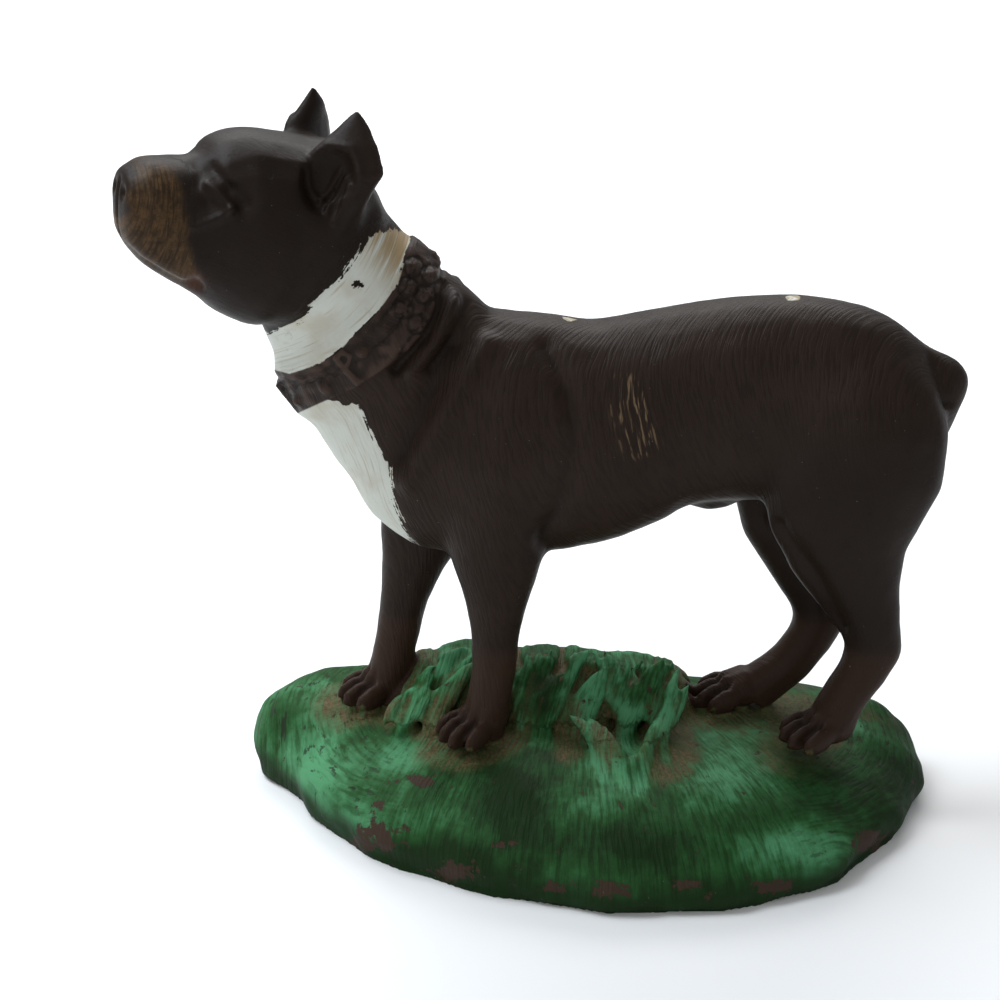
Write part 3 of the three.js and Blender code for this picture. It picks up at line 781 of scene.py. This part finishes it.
class Wiring:
    """Adds nodes to a tree, by what they do."""

    def __init__(self, tree):
        self.tree = tree

    def node(self, kind, **settings):
        made = self.tree.nodes.new(kind)
        for key, value in settings.items():
            setattr(made, key, value)
        return made

    def feed(self, socket, value):
        if isinstance(value, bpy.types.NodeSocket):
            self.tree.links.new(value, socket)
        else:
            socket.default_value = value

    def attribute(self, name, vector=False):
        made = self.node("ShaderNodeAttribute", attribute_name=name)
        return made.outputs["Vector" if vector else "Fac"]

    def place(self):
        return self.node("ShaderNodeTexCoord").outputs["Object"]

    def math(self, operation, first, second=0.0, clamp=False):
        made = self.node("ShaderNodeMath", operation=operation, use_clamp=clamp)
        self.feed(made.inputs[0], first)
        self.feed(made.inputs[1], second)
        return made.outputs[0]

    def scale(self, value, factor):
        return self.math("MULTIPLY", value, factor)

    def step(self, value, low, high):
        """0 at low and 1 at high, with soft ends."""
        made = self.node("ShaderNodeMapRange", interpolation_type="SMOOTHSTEP")
        self.feed(made.inputs["Value"], value)
        self.feed(made.inputs["From Min"], low)
        self.feed(made.inputs["From Max"], high)
        return made.outputs["Result"]

    def mix(self, share, first, second):
        made = self.node("ShaderNodeMix", data_type="RGBA")
        self.feed(made.inputs[0], share)
        self.feed(made.inputs[6], first)
        self.feed(made.inputs[7], second)
        return made.outputs[2]

    def scaled(self, vector, scale):
        made = self.node("ShaderNodeMapping")
        self.feed(made.inputs["Vector"], vector)
        made.inputs["Scale"].default_value = scale
        return made.outputs["Vector"]

    def blend(self, share, first, second):
        made = self.node("ShaderNodeMix", data_type="FLOAT")
        self.feed(made.inputs[0], share)
        self.feed(made.inputs[2], first)
        self.feed(made.inputs[3], second)
        return made.outputs[0]

    def noise(self, vector, scale=1.0, detail=3.0, roughness=0.55, warp=0.0):
        made = self.node("ShaderNodeTexNoise")
        self.feed(made.inputs["Vector"], vector)
        self.feed(made.inputs["Scale"], scale)
        made.inputs["Detail"].default_value = detail
        made.inputs["Roughness"].default_value = roughness
        made.inputs["Distortion"].default_value = warp
        return made.outputs["Fac"]


def group(name, inputs, outputs):
    """An empty node group with named sockets, and its input and output nodes."""
    tree = bpy.data.node_groups.new(name, "ShaderNodeTree")
    for label, kind, default in inputs:
        socket = tree.interface.new_socket(label, in_out="INPUT", socket_type=kind)
        if default is not None:
            socket.default_value = default
    for label, kind in outputs:
        tree.interface.new_socket(label, in_out="OUTPUT", socket_type=kind)
    wiring = Wiring(tree)
    start = wiring.node("NodeGroupInput")
    end = wiring.node("NodeGroupOutput")
    return wiring, start.outputs, end.inputs


def ragged_edge_group():
    """A patch of paint from its distance inside an outline, with a brushed, ragged edge."""
    wiring, given, put = group(
        "Ragged edge",
        [
            ("Inside", "NodeSocketFloat", 0.0),
            ("Place", "NodeSocketVector", None),
            ("Raggedness", "NodeSocketFloat", 2.0),
            ("Lump Scale", "NodeSocketFloat", 400.0),
            ("Softness", "NodeSocketFloat", 0.12),
        ],
        [("Mask", "NodeSocketFloat")],
    )
    lumps = wiring.noise(given["Place"], given["Lump Scale"], detail=5.0, roughness=0.65)
    shift = wiring.math("MULTIPLY", wiring.math("SUBTRACT", lumps, 0.5), given["Raggedness"])
    moved = wiring.math("ADD", given["Inside"], shift)
    below = wiring.scale(given["Softness"], -1.0)
    wiring.feed(put["Mask"], wiring.step(moved, below, given["Softness"]))
    return wiring.tree


def strokes_group():
    """Engraved strokes from places across and along them: a height from 0 to 1."""
    wiring, given, put = group(
        "Engraved strokes",
        [
            ("Stroke", "NodeSocketVector", None),
            ("Place", "NodeSocketVector", None),
            ("Across", "NodeSocketFloat", 1.0),
            ("Along", "NodeSocketFloat", 0.13),
        ],
        [("Height", "NodeSocketFloat")],
    )
    split = wiring.node("ShaderNodeSeparateXYZ")
    wiring.feed(split.inputs[0], given["Stroke"])
    drift = wiring.noise(given["Place"], 90.0, detail=1.0)
    across = wiring.math("ADD", split.outputs["X"], wiring.scale(drift, 0.8))
    join = wiring.node("ShaderNodeCombineXYZ")
    wiring.feed(join.inputs["X"], wiring.math("MULTIPLY", across, given["Across"]))
    wiring.feed(join.inputs["Y"], wiring.math("MULTIPLY", split.outputs["Y"], given["Along"]))
    lines = wiring.noise(join.outputs[0], 1.0, detail=2.0, roughness=0.45)
    wiring.feed(put["Height"], wiring.step(lines, 0.34, 0.62))
    return wiring.tree


def use_group(wiring, tree, **values):
    made = wiring.node("ShaderNodeGroup", node_tree=tree)
    for label, value in values.items():
        wiring.feed(made.inputs[label.replace("_", " ")], value)
    return made.outputs


class OldPaint:
    """Old paint on iron: a dark coat, a white neck and blaze, green turf with earth in it, painted shade
    in the hollows and cuts, and a painted highlight on top.
    """

    def __init__(self, settings):
        self.settings = settings
        self.material = bpy.data.materials.new("Old paint on cast iron")
        self.material.use_nodes = True
        wiring = self.wiring = Wiring(self.material.node_tree)
        self.place = wiring.place()
        self.stroke = wiring.attribute("stroke", vector=True)
        self.hollow = wiring.attribute("hollow")
        self.deep = wiring.attribute("deep")
        self.turf = wiring.attribute("turf")
        self.ragged = ragged_edge_group()
        self.ring = wiring.attribute("ring", vector=True)
        self.ends = wiring.attribute("ends")
        self.shade = wiring.attribute("shade")
        engraved = strokes_group()
        lines = use_group(wiring, engraved, Stroke=self.stroke, Place=self.place)["Height"]
        rings = use_group(wiring, engraved, Stroke=self.ring, Place=self.place)["Height"]
        self.strokes = wiring.blend(self.ends, lines, rings)
        self.streak = wiring.noise(
            wiring.scaled(self.stroke, (0.9, 0.06, 1.0)), 1.0, detail=4.0, warp=0.2
        )
        self.cloud = wiring.noise(self.place, 28.0, detail=4.0)
        self.grit = wiring.noise(self.place, 900.0, detail=3.0, roughness=0.7)

    def patch(self, inside, raggedness, lump_scale, softness=0.12):
        return use_group(
            self.wiring,
            self.ragged,
            Inside=inside,
            Place=self.place,
            Raggedness=raggedness,
            Lump_Scale=lump_scale,
            Softness=softness,
        )["Mask"]

    def coat(self):
        """The dark coat, painted darker in its hollows, in its cuts and on its head and rump (painted
        shade) and paler on its top (painted highlight), with its rubbed brown muzzle and the bare
        scratches on its side.
        """
        wiring, settings = self.wiring, self.settings
        light = wiring.scale(wiring.step(self.cloud, 0.3, 0.7), 0.75)
        coat = wiring.mix(light, settings.coat, settings.coat_light)
        # Painted shade: the coat is darker in the cuts of its strokes, in its broad hollows, and on its
        # head and rump.
        shaded_cut = wiring.scale(wiring.step(self.strokes, 0.5, 0.0), 0.32)
        low = wiring.scale(wiring.step(self.deep, 0.15, 1.0), 0.6)
        dark = wiring.math("MAXIMUM", self.shade, wiring.math("MAXIMUM", low, shaded_cut))
        coat = wiring.mix(dark, coat, settings.coat_in_shade)
        # Painted highlight: the coat is painted paler where it faces up on the head and back.
        coat = wiring.mix(wiring.scale(wiring.attribute("up"), 0.1), coat, settings.top_highlight)
        dusty = wiring.scale(wiring.step(self.turf, -9.0, -1.0), 0.6)
        coat = wiring.mix(dusty, coat, settings.dusty_paw)
        muzzle = self.patch(wiring.attribute("muzzle"), 7.0, 90.0, 2.0)
        fleck = wiring.noise(self.place, 420.0, detail=4.0, roughness=0.7)
        lines = wiring.step(self.strokes, -0.4, 1.0)
        worn = wiring.math("MULTIPLY", lines, wiring.step(fleck, 0.2, 0.72))
        tan = wiring.mix(worn, settings.muzzle_dark, settings.muzzle)
        coat = wiring.mix(wiring.scale(muzzle, 0.9), coat, tan)
        coat = wiring.mix(wiring.scale(wiring.attribute("lip"), 0.7), coat, settings.lip)
        scratch = wiring.step(wiring.attribute("scratch"), 0.0, 3.5)
        scratch = wiring.math("MULTIPLY", scratch, wiring.step(self.strokes, 0.62, 0.9))
        scratch = wiring.math("MULTIPLY", scratch, wiring.step(self.streak, 0.45, 0.6))
        return wiring.mix(wiring.scale(scratch, 0.65), coat, settings.scratch)

    def with_white(self, coat):
        """The white band and blaze, brushed on along the strap, and two pale chips on the back."""
        wiring, settings = self.wiring, self.settings
        brush = wiring.scale(wiring.math("SUBTRACT", self.streak, 0.5), 5.0)
        edge = wiring.math("ADD", wiring.attribute("white"), brush)
        mask = self.patch(edge, 3.5, 520.0)
        stain = wiring.step(wiring.noise(self.place, 60.0, detail=3.0), 0.5, 0.72)
        top = wiring.step(wiring.attribute("up_strap"), 9.0, 25.0)
        top = wiring.math("MULTIPLY", top, wiring.step(self.streak, 0.3, 0.6))
        stain = wiring.math("MAXIMUM", wiring.scale(stain, 0.35), top)
        brushed = wiring.step(self.streak, 0.54, 0.68)
        stain = wiring.math("MAXIMUM", stain, wiring.scale(brushed, 0.5))
        white = wiring.mix(stain, settings.white, settings.white_stain)
        chip = self.patch(wiring.attribute("chip"), 0.5, 600.0)
        return wiring.mix(wiring.math("MAXIMUM", mask, chip), coat, white)

    def with_strap(self, painted):
        wiring, settings = self.wiring, self.settings
        mask = wiring.step(wiring.attribute("strap"), -0.3, 0.3)
        patchy = wiring.step(self.cloud, 0.3, 0.6)
        rubbed = wiring.math("MULTIPLY", wiring.step(self.hollow, 0.3, -0.5), patchy)
        leather = wiring.mix(rubbed, settings.strap, settings.strap_light)
        return wiring.mix(mask, painted, leather)

    def grass(self):
        """Green that is mottled at random and painted lighter in the lit spots and darker in the shaded
        spots, its cuts and its bottom (painted light and shade), with earth in it, and flaked at its
        edge.
        """
        wiring, settings = self.wiring, self.settings
        shade = wiring.noise(self.place, 34.0, detail=6.0, roughness=0.66)
        # Painted light and shade: the green is lighter in the lit spots and darker in the shaded spots.
        tone = wiring.math("ADD", shade, wiring.scale(wiring.attribute("bright"), 0.16))
        tuft = wiring.attribute("tuft")
        proud = wiring.math("MULTIPLY", wiring.step(self.hollow, 0.3, -0.6), tuft)
        tone = wiring.math("ADD", tone, wiring.scale(proud, 0.12))
        leaf = wiring.attribute("leaf")
        tone = wiring.math("ADD", tone, wiring.scale(leaf, 0.12))
        tone = wiring.math("ADD", tone, wiring.scale(wiring.math("SUBTRACT", self.strokes, 0.5), 0.07))
        green = wiring.mix(wiring.step(tone, 0.3, 0.6), settings.green_shade_and_grime, settings.green)
        green = wiring.mix(wiring.step(tone, 0.5, 0.82), green, settings.green_lit_and_rubbed)
        # Painted shade: the grass is darker in the cuts of its strokes and towards the bottom of the
        # mound.
        shaded_cut = wiring.scale(wiring.step(self.strokes, 0.3, 0.0), 0.3)
        rim = wiring.scale(wiring.attribute("rim"), 0.92)
        green = wiring.mix(wiring.math("MAXIMUM", shaded_cut, rim), green, settings.green_shade_and_grime)
        earth = wiring.math("ADD", wiring.attribute("earth"), wiring.scale(self.deep, 0.16))
        between = wiring.math("MULTIPLY", wiring.step(self.hollow, -0.2, 0.8), tuft)
        earth = wiring.math("ADD", earth, wiring.scale(between, 0.65))
        earth = wiring.math("ADD", earth, wiring.scale(wiring.math("SUBTRACT", shade, 0.5), -1.6))
        ragged = wiring.math("SUBTRACT", self.turf, wiring.scale(shade, 14.0))
        near_feet = wiring.step(ragged, 1.0, -5.0)
        earth = wiring.math("MAXIMUM", wiring.step(earth, 0.22, 0.62), near_feet)
        earth = wiring.math("MULTIPLY", earth, wiring.blend(self.strokes, 0.95, 0.5))
        earth = wiring.math("MULTIPLY", earth, wiring.blend(leaf, 1.0, 0.3))
        soil = wiring.mix(wiring.step(self.grit, 0.35, 0.65), settings.dirt, settings.dirt_light)
        green = wiring.mix(earth, green, soil)
        flakes = wiring.noise(self.place, 210.0, detail=7.0, roughness=0.72)
        flaked = wiring.math("ADD", flakes, wiring.scale(wiring.attribute("flaked"), 0.27))
        bare = wiring.step(flaked, 0.62, 0.67)
        dashes = wiring.noise(wiring.scaled(self.ring, (0.6, 0.2, 1.0)), 1.0, detail=3.0)
        dash = wiring.math("MULTIPLY", wiring.step(dashes, 0.6, 0.66), self.ends)
        green = wiring.mix(wiring.scale(dash, 0.8), green, settings.bare_dark)
        return wiring.mix(bare, green, settings.bare), bare

    def finish(self):
        """Lays the paints over each other, and gives them their gloss and their relief."""
        wiring, settings = self.wiring, self.settings
        painted = self.with_strap(self.with_white(self.coat()))
        green, bare = self.grass()
        turf_mask = self.patch(self.turf, 0.9, 400.0)
        colour = wiring.mix(turf_mask, painted, green)
        speck = wiring.step(wiring.noise(self.place, 1300.0, detail=1.0), 0.80, 0.82)
        colour = wiring.mix(wiring.scale(speck, 0.35), colour, settings.dust)
        shader = self.material.node_tree.nodes["Principled BSDF"]
        wiring.feed(shader.inputs["Base Color"], colour)
        rough = wiring.math("ADD", wiring.scale(self.grit, 0.2), 0.36)
        rough = wiring.math("ADD", rough, wiring.scale(turf_mask, 0.16), clamp=True)
        wiring.feed(shader.inputs["Roughness"], rough)
        shader.inputs["Specular IOR Level"].default_value = 0.09
        bump = wiring.node("ShaderNodeBump")
        bump.inputs["Distance"].default_value = 0.0004
        bump.inputs["Strength"].default_value = 0.7
        faint = wiring.math("SUBTRACT", 0.34, wiring.scale(self.shade, 0.45))
        depth = wiring.blend(turf_mask, faint, 0.62)
        relief = wiring.math("MULTIPLY", self.strokes, depth)
        relief = wiring.math("ADD", relief, wiring.scale(self.grit, 0.3))
        relief = wiring.math("SUBTRACT", relief, wiring.scale(bare, 0.3))
        wiring.feed(bump.inputs["Height"], relief)
        wiring.feed(shader.inputs["Normal"], bump.outputs["Normal"])
        return self.material


# Settings, operators and panel.


def colour_property(name, description, default):
    return bpy.props.FloatVectorProperty(
        name=name,
        description=description,
        subtype="COLOR",
        size=4,
        min=0.0,
        max=1.0,
        default=(*default, 1.0),
    )


class DogSettings(bpy.types.PropertyGroup):
    """Sizes and colours of the painted casting."""

    grain: bpy.props.FloatProperty(
        name="Grain",
        description="Size of the finest form that the carving keeps",
        default=0.0007,
        min=0.0004,
        max=0.003,
        precision=5,
        unit="LENGTH",
    )
    triangles: bpy.props.IntProperty(
        name="Triangles",
        description="How many triangles the finished piece may have",
        default=196000,
        min=20000,
        max=199000,
    )
    coat: colour_property("Coat", "Paint of the coat", (0.0178, 0.0104, 0.0073))
    coat_light: colour_property("Light coat", "Coat where it is rubbed", (0.0255, 0.0158, 0.0114))
    # Painted shade: the coat's colour in its hollows and cuts and on its head and rump.
    coat_in_shade: colour_property("Dark coat", "Coat in its hollows", (0.0075, 0.0053, 0.0040))
    # Painted highlight: the pale colour painted on the upward-facing top of the coat.
    top_highlight: colour_property("Sheen", "Coat where light dust lies on top", (0.085, 0.083, 0.078))
    dusty_paw: colour_property("Dusty paw", "Coat low on the legs", (0.036, 0.018, 0.0105))
    muzzle: colour_property("Muzzle", "Rubbed paint of the muzzle", (0.082, 0.046, 0.020))
    muzzle_dark: colour_property("Dark muzzle", "Muzzle in its hollows", (0.021, 0.0120, 0.0062))
    lip: colour_property("Lip", "Corner of the mouth", (0.060, 0.022, 0.014))
    scratch: colour_property("Scratch", "Bare spots on the dog's side", (0.20, 0.135, 0.075))
    white: colour_property("White", "Paint of the neck and the breast", (0.53, 0.55, 0.50))
    white_stain: colour_property("Stained white", "White where it has yellowed", (0.31, 0.23, 0.13))
    strap: colour_property("Strap", "Paint of the collar", (0.0180, 0.0125, 0.0098))
    strap_light: colour_property("Worn strap", "Collar where it is rubbed", (0.052, 0.032, 0.024))
    green: colour_property("Green", "Paint of the grass", (0.0175, 0.075, 0.0195))
    # Painted shade and grime: the green in the shaded spots, the cuts, the bottom of the mound and its
    # random dark patches.
    green_shade_and_grime: colour_property("Dark green", "Grass where it is grimy", (0.0068, 0.0215, 0.0046))
    # Painted light and rubbed paint: the green in the lit spots and its random light patches.
    green_lit_and_rubbed: colour_property("Light green", "Grass where it is rubbed", (0.072, 0.245, 0.115))
    dirt: colour_property("Dirt", "Dirt in the grass", (0.056, 0.042, 0.018))
    dirt_light: colour_property("Dry dirt", "Dirt that has dried pale", (0.115, 0.082, 0.040))
    bare: colour_property("Bare metal", "Brown ground where the paint is off", (0.042, 0.026, 0.018))
    bare_dark: colour_property("Dark metal", "Ground in the fine cuts", (0.014, 0.015, 0.009))
    dust: colour_property("Dust", "Pale specks", (0.32, 0.30, 0.26))


class StageSettings(bpy.types.PropertyGroup):
    """The floor and the lights around the casting."""

    floor: colour_property("Floor", "Colour of the floor", (0.86, 0.86, 0.86))
    key_power: bpy.props.FloatProperty(
        name="Key light", description="Power of the main light", default=11.0, min=0.0, unit="POWER"
    )
    fill_power: bpy.props.FloatProperty(
        name="Fill light", description="Power of the light in front", default=2.0, min=0.0, unit="POWER"
    )
    back_power: bpy.props.FloatProperty(
        name="Back light", description="Power of the light on the floor behind", default=60.0,
        min=0.0, unit="POWER",
    )
    sky: bpy.props.FloatProperty(
        name="Surroundings", description="Brightness of the surroundings", default=0.4, min=0.0
    )


class STATUE_OT_dog(bpy.types.Operator):
    """Carves and paints the dog and the mound it stands on"""

    bl_idname = "statue.dog"
    bl_label = "Dog on its mound"

    def execute(self, context):
        settings = context.scene.dog_settings
        piece = make_piece(settings)
        piece.data.materials.clear()
        piece.data.materials.append(OldPaint(settings).finish())
        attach(piece, "root")
        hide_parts(NODE)
        return {"FINISHED"}


def area_light(name, place, target, size, power, colour):
    data = bpy.data.lights.new(name, "AREA")
    data.shape = "DISK"
    data.size = size
    data.energy = power
    data.color = colour
    light = bpy.data.objects.new(name, data)
    light.location = place
    light.rotation_euler = (Vector(target) - Vector(place)).to_track_quat("-Z", "Y").to_euler()
    bpy.context.scene.collection.objects.link(light)


class STATUE_OT_stage(bpy.types.Operator):
    """Sets up the floor, the lights and the camera"""

    bl_idname = "statue.stage"
    bl_label = "Floor, lights and camera"

    def execute(self, context):
        settings = context.scene.stage_settings
        work = bmesh.new()
        bmesh.ops.create_grid(work, x_segments=1, y_segments=1, size=6.0)
        mesh = bpy.data.meshes.new("floor")
        work.to_mesh(mesh)
        work.free()
        floor = bpy.data.objects.new("floor", mesh)
        context.scene.collection.objects.link(floor)
        paint = bpy.data.materials.new("Pale floor")
        paint.use_nodes = True
        shader = paint.node_tree.nodes["Principled BSDF"]
        shader.inputs["Base Color"].default_value = settings.floor
        shader.inputs["Roughness"].default_value = 0.8
        mesh.materials.append(paint)
        middle = (0.0, 0.0, 0.11)
        area_light("key", (-0.55, 0.1, 0.95), middle, 0.7, settings.key_power, (0.88, 0.94, 1.0))
        area_light("fill", (-0.25, -1.0, 0.55), middle, 0.9, settings.fill_power, (1.0, 0.97, 0.93))
        far_floor = (0.0, 2.2, 0.0)
        area_light("back", (0.0, 2.0, 1.6), far_floor, 2.4, settings.back_power, (1.0, 1.0, 1.0))
        world = bpy.data.worlds.new("Surroundings")
        world.use_nodes = True
        sky = world.node_tree.nodes["Background"]
        sky.inputs["Color"].default_value = (0.94, 0.97, 1.0, 1.0)
        sky.inputs["Strength"].default_value = settings.sky
        context.scene.world = world
        context.scene.view_settings.view_transform = "Standard"
        data = bpy.data.cameras.new("camera")
        data.lens = CAMERA_LENS
        camera = bpy.data.objects.new("camera", data)
        place = Vector((CAMERA_AT + SHOULDER_AT) * MM)
        target = Vector((CAMERA_TARGET + SHOULDER_AT) * MM)
        camera.location = place
        camera.rotation_euler = (target - place).to_track_quat("-Z", "Y").to_euler()
        context.scene.collection.objects.link(camera)
        context.scene.camera = camera
        return {"FINISHED"}


class STATUE_PT_panel(bpy.types.Panel):
    """Lists the settings and the steps"""

    bl_idname = "STATUE_PT_panel"
    bl_label = "Cast iron dog"
    bl_space_type = "VIEW_3D"
    bl_region_type = "UI"
    bl_category = "Cast iron dog"

    def draw(self, context):
        for settings, operator in (
            (context.scene.dog_settings, STATUE_OT_dog),
            (context.scene.stage_settings, STATUE_OT_stage),
        ):
            box = self.layout.box()
            for name in settings.bl_rna.properties.keys():
                if name not in ("rna_type", "name"):
                    box.prop(settings, name)
            box.operator(operator.bl_idname)


CLASSES = (DogSettings, StageSettings, STATUE_OT_dog, STATUE_OT_stage, STATUE_PT_panel)


def register():
    for item in CLASSES:
        bpy.utils.register_class(item)
    bpy.types.Scene.dog_settings = bpy.props.PointerProperty(type=DogSettings)
    bpy.types.Scene.stage_settings = bpy.props.PointerProperty(type=StageSettings)


def unregister():
    del bpy.types.Scene.stage_settings
    del bpy.types.Scene.dog_settings
    for item in reversed(CLASSES):
        bpy.utils.unregister_class(item)


def main():
    register()
    bpy.ops.statue.dog()
    bpy.ops.statue.stage()


if __name__ == "__main__":
    main()
